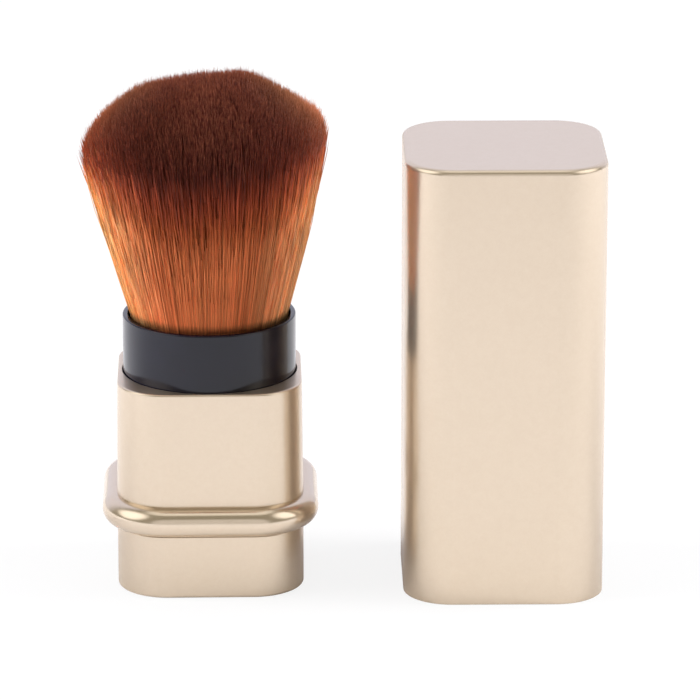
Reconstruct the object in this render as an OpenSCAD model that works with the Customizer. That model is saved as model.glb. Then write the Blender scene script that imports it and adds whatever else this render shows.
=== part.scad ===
// Retractable makeup brush in a square metal case, with its cap taken off and stood beside it.
// The origin is the centre of the foot's underside, on the brush's axis. +Z points up to the hair.
// The sleeve, with its grip bead, slides up the brush tube and gathers the hair before the cap goes on.

/* [Brush tube] */
// Outer diameter of the round tube that carries the hair
tube_d = 26.9; // [25:0.1:29]
// Wall of the tube
tube_wall = 0.9; // [0.7:0.05:1.1]
// Height of the tube that shows above the sleeve
ring_stand = 9.1; // [7:0.1:12]
// Rounding of the two edges of the tube's rim
rim_round = 0.25; // [0.1:0.05:0.3]
// Depth from the tube's rim down to its inner floor
hair_well = 18.1; // [17:0.1:19]
// Thickness of the tube's inner floor
web_t = 1.4; // [1:0.1:2]
// Height of the stop lugs on the tube
lug_h = 1.75; // [1:0.05:2]
// Wall left in the corners of the sleeve's core, behind the stop lugs' grooves
lug_back_wall = 1.1; // [0.8:0.05:1.5]
// Width of each stop lug
lug_w = 3.0; // [2:0.1:4]

/* [Foot] */
// Height of the foot below the sleeve
foot_h = 10.0; // [9:0.1:13]
// Radius of the foot's upright corners
case_corner_r = 7.85; // [7:0.05:9]
// Rounding of the foot's lower edge
foot_round = 0.5; // [0.3:0.05:0.7]
// Thickness of the foot shell's floor
foot_floor_t = 0.8; // [0.6:0.05:1]
// Height of the base weight
weight_h = 3.2; // [2:0.1:4]
// Width of the ledge between the weight's pocket and the inside of the tube
ledge_w = 0.7; // [0.5:0.05:1]

/* [Sleeve] */
// Height of the sleeve
sleeve_h = 22.8; // [20:0.1:26]
// How much further each side stands out at the foot of the sleeve than at its top
sleeve_flare = 0.2; // [0.1:0.05:0.4]
// Rounding of the sleeve's top edge
sleeve_round = 0.35; // [0.2:0.05:0.4]
// Thickness of the sleeve shell's top
sleeve_top_t = 0.4; // [0.3:0.05:0.6]
// Height of the grip bead, whose half-round section stands out by half as much
bead_h = 4.7; // [3.6:0.1:5.6]
// Thickness of the stop ring in the sleeve's lower end
stop_h = 2.2; // [1.6:0.1:3]
// Thinnest wall of the sleeve's core
core_wall = 0.3; // [0.2:0.05:0.5]
// Open seam between the foot and the sleeve
seam_gap = 0.2; // [0.1:0.05:0.3]

/* [Cap] */
// Radius of the cap's upright corners
cap_corner_r = 7.5; // [7:0.05:8.5]
// Rounding of the cap's top edge
cap_round = 0.9; // [0.6:0.05:1]
// Thickness of the cap shell's top
cap_top_t = 0.6; // [0.5:0.05:0.8]
// Wall of the cap's liner
liner_wall = 0.4; // [0.3:0.05:0.6]
// Thickness of the liner's ceiling
liner_top_t = 0.8; // [0.6:0.05:1.2]
// How far the liner stops short of the cap's rim
liner_lip = 0.5; // [0.3:0.05:1]
// Free height over the hair when the cap is on
cap_headroom = 3.35; // [2:0.05:6]
// Height of the small ribs that hold the cap on the sleeve
grip_rib_h = 8.0; // [5:0.5:12]
// How far each grip rib stands out of the liner
grip_rib_proud = 0.12; // [0.05:0.01:0.14]
// Radius that each grip rib is rounded to
grip_rib_r = 2.0; // [1.5:0.1:3]

/* [Cap beside the brush] */
// Distance from the brush's axis to the cap's, to the right
cap_x = 45.5; // [42:0.5:60]
// Distance from the brush's axis to the cap's, to the back
cap_y = -3.0; // [-8:0.5:8]
// Turn of the cap against the brush, in degrees
cap_turn = -0.5; // [-5:0.1:5]

/* [Hair] */
// Height of the crown's middle above the tube's rim
hair_reach = 37.25; // [33:0.25:40]
// Height of the crown's edge above the tube's rim
hair_edge_reach = 25.9; // [22:0.1:28]
// Width of the circle round the outermost strands where the crown begins
crown_d = 38.8; // [34:0.2:42]
// Share of the hair's spread that comes early and eases off towards the crown
spread_ease_share = 0.25; // [0:0.05:1]
// Extra height of the crown's edge on its higher side
crown_lean = 0.8; // [0:0.1:1.5]
// Rings of strands, which make three times their square of strands
strand_rings = 12; // [10:1:12]
// Length of each strand's point
tip_taper = 6.0; // [4:0.5:8]
// Unevenness of the strands' ends
tip_scatter = 0.4; // [0:0.05:0.6]
// Space left between the hair and the tube's rim
hair_gap = 0.25; // [0.15:0.05:0.4]
// Wall of the ferrule cup round the hair's root
ferrule_wall = 0.35; // [0.25:0.05:0.5]
// Thickness of the ferrule cup's floor
ferrule_floor_t = 0.5; // [0.4:0.1:0.8]
// Height of the ferrule cup
ferrule_h = 12.0; // [10:0.5:14]
// Depth of the resin that the hair is set in
resin_h = 7.4; // [6:0.1:8]
// Thickness of the resin's top layer, which is one piece with the strands
root_slice_t = 0.6; // [0.4:0.1:1]

/* [Walls and fits] */
// Wall of the gold shells
shell_wall = 0.4; // [0.3:0.05:0.5]
// Gap between glued pieces
glue_gap = 0.05; // [0.03:0.01:0.08]
// Running gap between the tube and the sleeve's core
slide_gap = 0.08; // [0.05:0.01:0.1]
// Gap between the tube and the hole in the sleeve's top
hole_gap = 0.15; // [0.1:0.01:0.2]
// Gap round each stop lug in its groove, and over it at rest
lug_gap = 0.3; // [0.2:0.05:0.4]
// Gap left between the lugs and the stop ring with the sleeve fully up
stop_gap = 0.1; // [0.05:0.05:0.2]
// Gap between the liner and the widest part of the sleeve
slip_gap = 0.17; // [0.15:0.01:0.25]

/* [Hidden] */
$fn = 96;

// Overrun of every cut past the face that it opens
overrun = 0.5;
quarter_turn = 90;

// Plan sizes: half widths are taken from the axis to a flat side
tube_r = tube_d / 2;
bore_r = tube_r + slide_gap;
core_half = bore_r + core_wall;
sleeve_in_half = core_half + glue_gap;
sleeve_top_half = sleeve_in_half + shell_wall;
case_half = sleeve_top_half + sleeve_flare;
case_hub = case_half - case_corner_r;
foot_in_half = case_half - shell_wall;
liner_in_half = case_half + slip_gap;
liner_out_half = liner_in_half + liner_wall;
cap_in_half = liner_out_half + glue_gap;
cap_half = cap_in_half + shell_wall;
cap_hub = cap_half - cap_corner_r;

// Heights of the foot and the sleeve
sleeve_z = foot_h + seam_gap;
sleeve_top_z = sleeve_z + sleeve_h;
bead_r = bead_h / 2;
bead_top_z = sleeve_z + bead_h;
stop_top_z = sleeve_z + stop_h;
core_z = stop_top_z + glue_gap;
core_top_z = sleeve_top_z - sleeve_top_t - glue_gap;

// Heights of the tube, its seat in the foot and what it holds
weight_z = foot_floor_t + glue_gap;
ledge_z = weight_z + weight_h + glue_gap;
tube_z = ledge_z + glue_gap;
rim_z = sleeve_top_z + ring_stand;
well_z = rim_z - hair_well;
tube_in_r = tube_r - tube_wall;
weight_r = tube_in_r - ledge_w;
core_corner_reach = sqrt(2) * case_hub + core_half - case_hub;
groove_reach = core_corner_reach - lug_back_wall;
lug_reach = groove_reach - lug_gap;
lug_top_z = core_top_z - lug_gap;
lug_z = lug_top_z - lug_h;
sleeve_travel = lug_z - stop_gap - stop_top_z;
ferrule_z = well_z + glue_gap;
ferrule_r = tube_in_r - glue_gap;
ferrule_in_r = ferrule_r - ferrule_wall;
resin_r = ferrule_in_r - glue_gap;
resin_z = ferrule_z + ferrule_floor_t + glue_gap;
slice_z = resin_z + resin_h;
slice_top_z = slice_z + root_slice_t;

// The rim of the cap stops on the crown of the bead, over the middle of the shell's own wall
cap_seat_reach = (cap_half + cap_in_half) / 2 - case_half;
cap_seat_z = sleeve_z + bead_r + sqrt(bead_r * bead_r - cap_seat_reach * cap_seat_reach);
cap_inner_h = rim_z + hair_reach + cap_headroom - cap_seat_z;
liner_top_z = cap_inner_h + liner_top_t;
cap_in_z = liner_top_z + glue_gap;
cap_h = cap_in_z + cap_top_t;

// Radii that the hair fills at its root, at the rim and at the crown's edge
root_r = resin_r;
mouth_r = tube_in_r - hair_gap;
crown_r = crown_d / 2;

// Widths of a strand as shares of its place among the others, at the rim and below its point
mouth_width_share = 0.72;
shoulder_width_share = 0.66;
// Turns of the wave that sets how the strands' ends differ, in degrees for each step along the lattice
scatter_steps = [137, 211];

// A section, drawn outward from the centre of a corner's arc, swept round a square with round corners
module swept(hub) {
    for (quarter = [0:3])
        rotate(quarter * quarter_turn)
            translate([hub, hub, 0]) {
                rotate_extrude(angle = quarter_turn) children();
                rotate([quarter_turn, 0, 0])
                    linear_extrude(2 * hub) children();
            }
}

// A plate that fills the square between the centres of the corners' arcs
module middle(hub, z, h) {
    translate([-hub, -hub, z])
        cube([2 * hub, 2 * hub, h]);
}

// An upright block with round corners
module block(half, hub, z, h) {
    swept(hub)
        translate([0, z])
            square([half - hub, h]);
    middle(hub, z, h);
}

module bore(r, z, h) {
    translate([0, 0, z])
        cylinder(r = r, h = h);
}

// A bar standing on the x axis, with its two upper edges rounded
module round_topped_bar(x, w, z, h, round_r) {
    translate([x, z])
        square([w, h - round_r]);
    translate([x + round_r, z])
        square([w - 2 * round_r, h]);
    for (side_x = [x + round_r, x + w - round_r])
        translate([side_x, z + h - round_r])
            circle(round_r);
}

module foot_section() {
    side_x = case_half - case_hub;
    cavity_x = foot_in_half - case_hub;
    difference() {
        union() {
            translate([0, foot_round])
                square([side_x, foot_h - foot_round]);
            square([side_x - foot_round, foot_h]);
            translate([side_x - foot_round, foot_round])
                circle(foot_round);
        }
        translate([-overrun, foot_floor_t])
            square([cavity_x + overrun, foot_h]);
    }
}

module foot_shell() {
    color("burlywood") {
        swept(case_hub) foot_section();
        middle(case_hub, 0, foot_floor_t);
    }
}

module foot_core() {
    core_top = foot_h - glue_gap;
    color("dimgray")
        difference() {
            block(foot_in_half - glue_gap, case_hub, weight_z, core_top - weight_z);
            bore(tube_r + glue_gap, ledge_z, foot_h);
            bore(weight_r + glue_gap, weight_z - overrun, foot_h);
        }
}

module base_weight() {
    color("slategray")
        bore(weight_r, weight_z, weight_h);
}

module stop_lug() {
    root_x = tube_in_r + tube_wall / 2;
    translate([root_x, -lug_w / 2, lug_z])
        cube([lug_reach - root_x, lug_w, lug_h]);
}

module brush_tube() {
    color("black") {
        rotate_extrude()
            round_topped_bar(tube_in_r, tube_wall, tube_z, rim_z - tube_z, rim_round);
        bore(tube_in_r + tube_wall / 2, well_z - web_t, web_t);
        for (quarter = [0:3])
            rotate((quarter + 1 / 2) * quarter_turn) stop_lug();
    }
}

module ferrule_cup() {
    color("silver")
        difference() {
            bore(ferrule_r, ferrule_z, ferrule_h);
            bore(ferrule_in_r, ferrule_z + ferrule_floor_t, ferrule_h);
        }
}

module root_resin() {
    color("maroon")
        bore(resin_r, resin_z, resin_h);
}

module sleeve_section() {
    foot_x = case_half - case_hub;
    top_x = sleeve_top_half - case_hub;
    cavity_x = sleeve_in_half - case_hub;
    arc = [for (turn = [0:15:90])
        [top_x - sleeve_round * (1 - cos(turn)), sleeve_top_z - sleeve_round * (1 - sin(turn))]];
    difference() {
        polygon(concat([[0, sleeve_z], [foot_x, sleeve_z], [foot_x, bead_top_z]], arc, [[0, sleeve_top_z]]));
        translate([-overrun, sleeve_z - overrun])
            square([cavity_x + overrun, sleeve_h - sleeve_top_t + overrun]);
    }
}

module sleeve_shell() {
    top_z = sleeve_top_z - sleeve_top_t;
    color("burlywood")
        difference() {
            union() {
                swept(case_hub) sleeve_section();
                middle(case_hub, top_z, sleeve_top_t);
            }
            bore(tube_r + hole_gap, top_z - overrun, sleeve_top_t + 2 * overrun);
        }
}

// A groove up the inside of each corner of the sleeve's core, for a stop lug to run in
module lug_groove() {
    groove_w = lug_w + 2 * lug_gap;
    translate([0, -groove_w / 2, core_z - overrun])
        cube([groove_reach, groove_w, core_top_z - core_z + 2 * overrun]);
}

module sleeve_core() {
    core_h = core_top_z - core_z;
    color("dimgray")
        difference() {
            block(core_half, case_hub, core_z, core_h);
            bore(bore_r, core_z - overrun, core_h + 2 * overrun);
            for (quarter = [0:3])
                rotate((quarter + 1 / 2) * quarter_turn) lug_groove();
        }
}

module stop_ring() {
    color("dimgray")
        difference() {
            block(core_half, case_hub, sleeve_z, stop_h);
            bore(bore_r, sleeve_z - overrun, stop_h + 2 * overrun);
        }
}

module bead_section() {
    face_x = case_half - case_hub;
    difference() {
        translate([face_x, sleeve_z + bead_r])
            circle(bead_r);
        translate([face_x + glue_gap - 2 * bead_h, sleeve_z - bead_h])
            square([2 * bead_h, 3 * bead_h]);
    }
}

module grip_bead() {
    color("burlywood")
        swept(case_hub) bead_section();
}

// Everything of the cap stands where the cap is put down
module at_cap() {
    translate([cap_x, cap_y, 0])
        rotate(cap_turn) children();
}

module cap_section() {
    side_x = cap_half - cap_hub;
    cavity_x = cap_in_half - cap_hub;
    difference() {
        union() {
            square([side_x, cap_h - cap_round]);
            square([side_x - cap_round, cap_h]);
            translate([side_x - cap_round, cap_h - cap_round])
                circle(cap_round);
        }
        translate([-overrun, -overrun])
            square([cavity_x + overrun, cap_in_z + overrun]);
    }
}

module cap_shell() {
    color("burlywood")
        at_cap() {
            swept(cap_hub) cap_section();
            middle(cap_hub, cap_in_z, cap_top_t);
        }
}

// A rounded rib on the inside of one of the liner's sides
module grip_rib() {
    intersection() {
        translate([liner_in_half - grip_rib_proud + grip_rib_r, 0, liner_lip + liner_wall])
            cylinder(r = grip_rib_r, h = grip_rib_h);
        translate([0, -grip_rib_r, 0])
            cube([liner_in_half + liner_wall / 2, 2 * grip_rib_r, cap_h]);
    }
}

module cap_liner() {
    wall_x = liner_in_half - cap_hub;
    color("dimgray")
        at_cap() {
            swept(cap_hub) {
                translate([wall_x, liner_lip])
                    square([liner_wall, liner_top_z - liner_lip]);
                translate([0, cap_inner_h])
                    square([wall_x + liner_wall / 2, liner_top_t]);
            }
            middle(cap_hub, cap_inner_h, liner_top_t);
            for (quarter = [0:3])
                rotate(quarter * quarter_turn) grip_rib();
        }
}

// The strands grow from a triangular lattice of points [i, j] that rings the axis, and each point
// is drawn in along its own direction so that every ring of the lattice becomes a circle.
function lattice_ring(p) = max(abs(p[0]), abs(p[1]), abs(p[0] + p[1]));
function on_lattice(p) = lattice_ring(p) <= strand_rings;
function flat_place(p) = [p[0] + p[1] / 2, p[1] * sqrt(3) / 2];
function disc_share(p) =
    lattice_ring(p) == 0 ? [0, 0] : flat_place(p) / norm(flat_place(p)) * lattice_ring(p) / strand_rings;

// Place of a lattice point in the list of points, which runs row by row
function row_first(j) = max(-strand_rings, -strand_rings - j);
function row_last(j) = min(strand_rings, strand_rings - j);
function row_start(j) =
    j <= 0
        ? (j + strand_rings) * (strand_rings + 1) + (j + strand_rings) * (j + strand_rings - 1) / 2
        : row_start(0) + (2 * strand_rings + 1) * j - j * (j - 1) / 2;
function lattice_index(p) = row_start(p[1]) + p[0] - row_first(p[1]);

// The three lattice points at the root of the strand at p, and those of the bare triangle beside it
function strand_roots(p) = [p, p + [1, 0], p + [0, 1]];
function bare_roots(p) = [p - [0, 1], p, p - [1, 0]];
function all_on_lattice(ps) = len([for (p = ps) if (on_lattice(p)) p]) == len(ps);

// Height of the crown at a share of its radius, and how far the hair has spread on the way up to it
function crown_z(share) =
    rim_z + hair_edge_reach + (hair_reach - hair_edge_reach) * sqrt(max(0, 1 - share * share));
function spread_share(way) = (1 - spread_ease_share) * way + spread_ease_share * sin(quarter_turn * way);
function spread_r(way) = mouth_r + (crown_r - mouth_r) * spread_share(way);

// A strand's seven points above its root: three at the rim, three where its point starts, and its end
function strand_points(p) =
    let (
        corners = [for (q = strand_roots(p)) disc_share(q)],
        centre = (corners[0] + corners[1] + corners[2]) / 3,
        scatter = tip_scatter * sin(scatter_steps[0] * p[0] + scatter_steps[1] * p[1]),
        end_z = crown_z(norm(centre)) + crown_lean * centre[0] + scatter,
        shoulder_z = end_z - tip_taper,
        shoulder_r = spread_r((shoulder_z - rim_z) / (end_z - rim_z))
    )
    concat(
        [for (c = corners) let (at = (centre + (c - centre) * mouth_width_share) * mouth_r) [at[0], at[1], rim_z]],
        [for (c = corners)
            let (at = (centre + (c - centre) * shoulder_width_share) * shoulder_r) [at[0], at[1], shoulder_z]],
        [[centre[0] * crown_r, centre[1] * crown_r, end_z]]
    );

// Faces of one strand: low holds its root's points, first is the place of its own first point
function strand_faces(low, first) =
    [for (side = [0:2])
        let (
            next = (side + 1) % 3,
            rim = [first + side, first + next],
            shoulder = [first + 3 + side, first + 3 + next],
            end = first + 6
        )
        each [
            [low[side], rim[0], rim[1]],
            [low[side], rim[1], low[next]],
            [rim[0], shoulder[0], shoulder[1]],
            [rim[0], shoulder[1], rim[1]],
            [shoulder[0], end, shoulder[1]]
        ]
    ];

// The lattice points round the rim of the root slice, in order
lattice_corners = [[1, 0], [0, 1], [-1, 1], [-1, 0], [0, -1], [1, -1]];
rim_count = 6 * strand_rings;
function rim_place(step) =
    let (
        side = floor(step / strand_rings) % 6,
        corner = lattice_corners[side],
        next = lattice_corners[(side + 1) % 6]
    )
    corner * strand_rings + (next - corner) * (step % strand_rings);

module bristles() {
    lattice = [for (j = [-strand_rings:strand_rings]) for (i = [row_first(j):row_last(j)]) [i, j]];
    strands = [for (p = lattice) if (all_on_lattice(strand_roots(p))) p];
    bare = [for (p = lattice) if (all_on_lattice(bare_roots(p))) p];
    top = [for (p = lattice) let (at = disc_share(p) * root_r) [at[0], at[1], slice_top_z]];
    rim = [for (step = [0:rim_count - 1]) rim_place(step)];
    below = [for (p = rim) let (at = disc_share(p) * root_r) [at[0], at[1], slice_z]];
    below_first = len(top);
    strand_first = below_first + rim_count + 1;
    own = 7;
    color("sienna")
        polyhedron(
            points = concat(top, below, [[0, 0, slice_z]], [for (p = strands) each strand_points(p)]),
            faces = concat(
                [for (s = [0:len(strands) - 1])
                    each strand_faces([for (q = strand_roots(strands[s])) lattice_index(q)], strand_first + own * s)],
                [for (p = bare) let (at = bare_roots(p))
                    [lattice_index(at[0]), lattice_index(at[2]), lattice_index(at[1])]],
                [for (step = [0:rim_count - 1])
                    let (
                        next = (step + 1) % rim_count,
                        a = lattice_index(rim[step]),
                        b = lattice_index(rim[next])
                    )
                    each [
                        [below_first + step, a, b],
                        [below_first + step, b, below_first + next],
                        [below_first + step, below_first + next, below_first + rim_count]
                    ]]
            ),
            convexity = 10
        );
}

foot_shell();
foot_core();
base_weight();
brush_tube();
ferrule_cup();
root_resin();
bristles();
sleeve_shell();
sleeve_core();
grip_bead();
stop_ring();
cap_shell();
cap_liner();
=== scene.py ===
import math

import bmesh
import bpy
import numpy as np
from mathutils import Euler, Matrix, Vector, noise


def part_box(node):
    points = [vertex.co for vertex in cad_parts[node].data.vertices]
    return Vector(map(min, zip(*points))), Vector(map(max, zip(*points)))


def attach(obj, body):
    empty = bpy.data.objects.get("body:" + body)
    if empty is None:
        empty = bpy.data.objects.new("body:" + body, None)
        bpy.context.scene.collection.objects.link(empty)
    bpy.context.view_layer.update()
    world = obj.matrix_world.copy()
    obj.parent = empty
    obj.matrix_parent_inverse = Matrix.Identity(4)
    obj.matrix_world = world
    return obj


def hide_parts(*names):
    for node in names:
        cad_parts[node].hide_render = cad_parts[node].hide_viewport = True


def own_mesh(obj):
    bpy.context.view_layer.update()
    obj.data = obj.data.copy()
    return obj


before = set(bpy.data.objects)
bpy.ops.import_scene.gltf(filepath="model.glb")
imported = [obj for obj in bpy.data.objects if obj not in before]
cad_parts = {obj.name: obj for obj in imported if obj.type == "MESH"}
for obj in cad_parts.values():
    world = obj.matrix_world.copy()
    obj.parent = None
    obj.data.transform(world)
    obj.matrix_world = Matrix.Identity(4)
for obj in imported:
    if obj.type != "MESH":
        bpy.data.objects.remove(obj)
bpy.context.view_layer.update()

bl_info = {
    "name": "Retractable makeup brush",
    "version": (1, 0, 0),
    "blender": (4, 5, 0),
    "location": "View3D > Sidebar > Makeup Brush",
    "description": "Dresses a square-cased retractable powder brush and its cap around their packed frame",
    "category": "Object",
}

MM = 0.001

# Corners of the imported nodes' boxes, from which sizes of the dressed pieces come
FOOT_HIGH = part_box("foot_shell")[1]
SLEEVE_LOW, SLEEVE_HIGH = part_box("sleeve_shell")
BEAD_LOW, BEAD_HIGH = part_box("grip_bead")
TUBE_LOW, TUBE_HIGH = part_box("brush_tube")
CAP_LOW, CAP_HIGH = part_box("cap_shell")
CORE_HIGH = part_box("sleeve_core")[1]
HAIR_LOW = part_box("bristles")[0]

QUARTER = math.pi / 2
HALF_TURN = 2 * QUARTER
FULL_TURN = 4 * QUARTER
# Distance under which two points or heights count as the same
SAME = 1e-3 * MM
# Distance within which a vertex counts as lying on a loop
NEAR = 0.02 * MM
# Segments in the rounding of an edge, round the bead's section and round the resin's slice
RIM_SEGMENTS, EDGE_SEGMENTS, FOOT_SEGMENTS, CAP_SEGMENTS = 3, 4, 5, 7
BEAD_SEGMENTS, RESIN_SEGMENTS = 64, 96
# Angle between two faces from which their edge is shown sharp
SHARP = math.radians(32)
# Weight of large faces in the even shading of a piece's normals
EVEN_WEIGHT = 50


def length(name, description, default, low=0.0, high=1.0):
    """A length property in metres."""
    return bpy.props.FloatProperty(
        name=name, description=description, default=default, min=low, max=high,
        precision=5, subtype="DISTANCE", unit="LENGTH",
    )


def share(name, description, default, low=0.0, high=1.0):
    """A plain number between two limits."""
    return bpy.props.FloatProperty(name=name, description=description, default=default, min=low, max=high)


def colour(name, description, default):
    """A linear colour."""
    return bpy.props.FloatVectorProperty(
        name=name, description=description, default=default, size=3, min=0.0, max=1.0, subtype="COLOR"
    )


class CaseSizes(bpy.types.PropertyGroup):
    """Sizes of the gold foot, sleeve and bead and of the black tube."""

    half: length("Half width", "From the axis to a flat side of the foot", FOOT_HIGH.x)
    corner: length("Corner radius", "Radius of the upright corners", 7.85 * MM)
    top_half: length("Half width at the sleeve's top", "The sleeve narrows to this above the bead",
                     FOOT_HIGH.x - 0.2 * MM)
    wall: length("Shell wall", "Thickness of the gold shells", 0.4 * MM)
    floor: length("Foot floor", "Thickness of the foot shell's floor", 0.8 * MM)
    foot_round: length("Foot rounding", "Rounding of the foot's lower edge", 0.5 * MM)
    sleeve_round: length("Sleeve rounding", "Rounding of the sleeve's top edge", 0.35 * MM)
    hole_round: length("Hole rounding", "Rounding of the edge of the hole in the sleeve's top", 0.12 * MM)
    hole_gap: length("Hole gap", "Gap between the tube and the hole in the sleeve's top", 0.15 * MM)
    tube_radius: length("Tube radius", "Outer radius of the black tube", 13.45 * MM)
    tube_wall: length("Tube wall", "Wall of the black tube", 0.9 * MM)
    rim_round: length("Rim rounding", "Rounding of the tube's rim", 0.25 * MM)
    well: length("Well", "Depth from the tube's rim to its inner floor", 18.1 * MM)
    web: length("Web", "Thickness of the tube's inner floor", 1.4 * MM)
    lug_width: length("Lug width", "Width of the four lugs on the tube that stop the sleeve", 3.0 * MM)
    lug_height: length("Lug height", "Height of the lugs", 1.75 * MM)
    lug_gap: length("Lug gap", "Gap over the lugs with the sleeve down", 0.3 * MM)
    lug_reach: length("Lug reach", "Distance of the lugs' outer ends from the axis", 15.17 * MM)
    steps: bpy.props.IntProperty(
        name="Corner steps", description="Flat steps in a quarter turn", default=20, min=4, max=64
    )


class CapSizes(bpy.types.PropertyGroup):
    """Sizes of the gold cap."""

    half: length("Half width", "From the cap's axis to a flat side", 15.5 * MM)
    corner: length("Corner radius", "Radius of the upright corners", 7.5 * MM)
    top_round: length("Top rounding", "Rounding of the top edge", 0.9 * MM)
    rim_round: length("Rim rounding", "Rounding of the open rim", 0.12 * MM)
    wall: length("Shell wall", "Thickness of the shell", 0.4 * MM)
    top: length("Top thickness", "Thickness of the closed top", 0.6 * MM)
    turn: bpy.props.FloatProperty(
        name="Turn", description="Turn of the cap against the brush", default=math.radians(-0.5),
        subtype="ANGLE"
    )


class HairSizes(bpy.types.PropertyGroup):
    """Sizes of the tuft and its strands."""

    strands: bpy.props.IntProperty(
        name="Strands", description="Strands in the whole tuft", default=31000, min=1000, max=60000
    )
    sectors: bpy.props.IntProperty(
        name="Sectors", description="Slices of the tuft, each a piece that draws in by itself", default=16,
        min=8, max=32
    )
    root_radius: length("Root radius", "Radius of the tuft in the resin", 11.9 * MM)
    mouth_radius: length("Mouth radius", "Radius of the tuft at the tube's rim", 12.3 * MM)
    crown_radius: length("Crown radius", "Radius of the spread tuft where the crown begins", 18.9 * MM)
    bend: share("Bend", "Share of the spread that comes early and then eases off", 0.25)
    reach: length("Reach", "Height of the crown's middle above the tube's rim", 37.4 * MM)
    edge_reach: length("Edge reach", "Height of the crown's edge above the tube's rim", 25.9 * MM)
    lean: length("Lean", "Extra height of the crown's edge on its higher side", 0.8 * MM)
    aside: length("Lean aside", "How far the crown leans to the left", 0.55 * MM)
    thickness: length("Strand radius", "Radius of a strand's three corners at its thickest", 0.069 * MM)
    unevenness: length("Unevenness", "How far strands end short of the crown", 0.7 * MM)
    clump: length("Clumping", "How far neighbouring strands lean together at their tips", 0.30 * MM)
    stray: length("Straying", "How far a single strand leans off by itself", 0.20 * MM)
    flyaway: length("Flyaway", "How far the loosest strands stand out of the tuft and above the crown",
                    0.75 * MM)
    waviness: length("Waviness", "How far a single strand waves from side to side", 0.13 * MM)
    gathered: share("Gathered", "Width that is left of the tuft with the sleeve fully up", 0.88)


class Finishes(bpy.types.PropertyGroup):
    """Colours and gloss of the finishes, as linear values."""

    gold: colour("Gold", "Anodised pale gold", (0.735, 0.627, 0.50))
    gold_deep: colour("Deeper gold", "The deeper of the two golds that the grain mixes",
                      (0.62, 0.51, 0.385))
    gold_roughness: share("Gold roughness", "Roughness of the blasted gold", 0.25)
    gold_haze: share("Gold haze", "Share of the light that the blasted gold scatters widely", 0.30)
    black: colour("Black", "Gloss black of the tube", (0.003, 0.003, 0.008))
    copper: colour("Copper", "The hair's lower part", (0.83, 0.257, 0.093))
    red_brown: colour("Red-brown", "The hair where the dye runs out", (0.40, 0.070, 0.030))
    orange_brown: colour("Orange-brown", "The hair just below where the dye runs out", (0.60, 0.138, 0.044))
    dark_brown: colour("Dark brown", "The dyed part of the hair", (0.096, 0.018, 0.014))
    thin_tip: colour("Thin tip", "The strands' thin ends", (0.32, 0.095, 0.052))
    dye_reach: length("Dye reach", "Distance from a strand's end to where the dye has run out", 14.7 * MM)
    # Painted side light: how much the dyed hair's colour is lifted toward both sides, standing in for the
    # side lamps' light
    painted_side_light: share("Worn sides", "How much lighter the dyed hair gets at both sides", 0.65, 0.0, 2.0)
    # Painted rim light: share and tint of the lighter colour painted on the ends at the crown's left and
    # right, standing in for backlight through the thin ends
    painted_rim: share("Light fringe", "Share of the fringe's colour in the ends at the crown's left and right",
                  0.95)
    painted_rim_tint: colour("Fringe", "The ends at the crown's left and right", (0.49, 0.205, 0.108))
    see_through: share("See-through", "Share of the light that passes through a strand", 0.35)
    # Painted side highlight: the undyed hair's colour gains some red, more green and most blue toward both
    # sides, a whitish painted highlight from the side lamps
    painted_side_highlight: bpy.props.FloatVectorProperty(
        name="Paler sides",
        description="How much red, green and blue the undyed hair gains at both sides, where it is thin",
        default=(0.42, 1.85, 2.5), size=3, min=0.0, max=4.0
    )


class StageLook(bpy.types.PropertyGroup):
    """Camera, floor and lamps."""

    camera_place: bpy.props.FloatVectorProperty(
        name="Camera place", description="Where the camera stands", default=(0.00364, -0.75240, 0.26782),
        size=3, subtype="TRANSLATION", unit="LENGTH"
    )
    camera_pitch: bpy.props.FloatProperty(
        name="Camera pitch", description="How far the camera looks down", default=math.radians(17.143),
        subtype="ANGLE"
    )
    camera_turn: bpy.props.FloatProperty(
        name="Camera turn", description="How far the camera turns to the right", default=math.radians(1.39),
        subtype="ANGLE"
    )
    camera_lens: bpy.props.FloatProperty(
        name="Lens", description="Focal length in millimetres on a 36 mm sensor", default=259.9,
        min=20, max=400
    )
    floor_size: length("Floor size", "Side of the floor", 6.0, 1.0, 20.0)
    floor_white: share("Floor white", "Share of the floor that the camera sees as plain white", 0.85)
    floor_shine: share("Floor shine", "Share of the floor that metal mirrors as plain white", 0.03)
    key_power: bpy.props.FloatProperty(
        name="Key power", description="Power of the large lamp above, in watts", default=0.3, min=0, max=100
    )
    side_power: bpy.props.FloatProperty(
        name="Side power", description="Power of the lamp left of the hair, in watts; the right one has less",
        default=12.6, min=0, max=100
    )
    dim: colour("Dim room", "The room between the soft boxes", (0.26, 0.235, 0.165))
    box_strength: share("Soft boxes", "Brightness of the soft boxes", 1.0, 0.0, 4.0)


# Soft boxes round the object: direction, angles at which the light begins to fade and is gone, and colour
SOFT_BOXES = {
    "back_wall": ((0.0, 1.0, 0.2), 40, 72, (0.73, 0.765, 1.015)),
    "left_box": ((-0.80, -0.20, 0.57), 14, 32, (1.7, 1.7, 1.7)),
    "right_box": ((0.80, -0.20, 0.57), 14, 32, (1.7, 1.7, 1.7)),
    "top_box": ((0.0, -0.05, 1.0), 12, 27, (0.95, 0.95, 0.95)),
    "front_wall": ((0.0, -1.0, 0.12), 22, 33, (0.55, 0.55, 0.60)),
}
# The floor's colour, and the power of the lamp right of the hair as a share of the left one's
FLOOR_TONE, RIGHT_SHARE = (0.68, 0.68, 0.705, 1), 0.76


# Helpers for meshes

def blank(name):
    """A new mesh object in the scene, and an empty bmesh to model it with."""
    mesh = bpy.data.meshes.new(name)
    obj = bpy.data.objects.new(name, mesh)
    bpy.context.scene.collection.objects.link(obj)
    return obj, bmesh.new()


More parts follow.
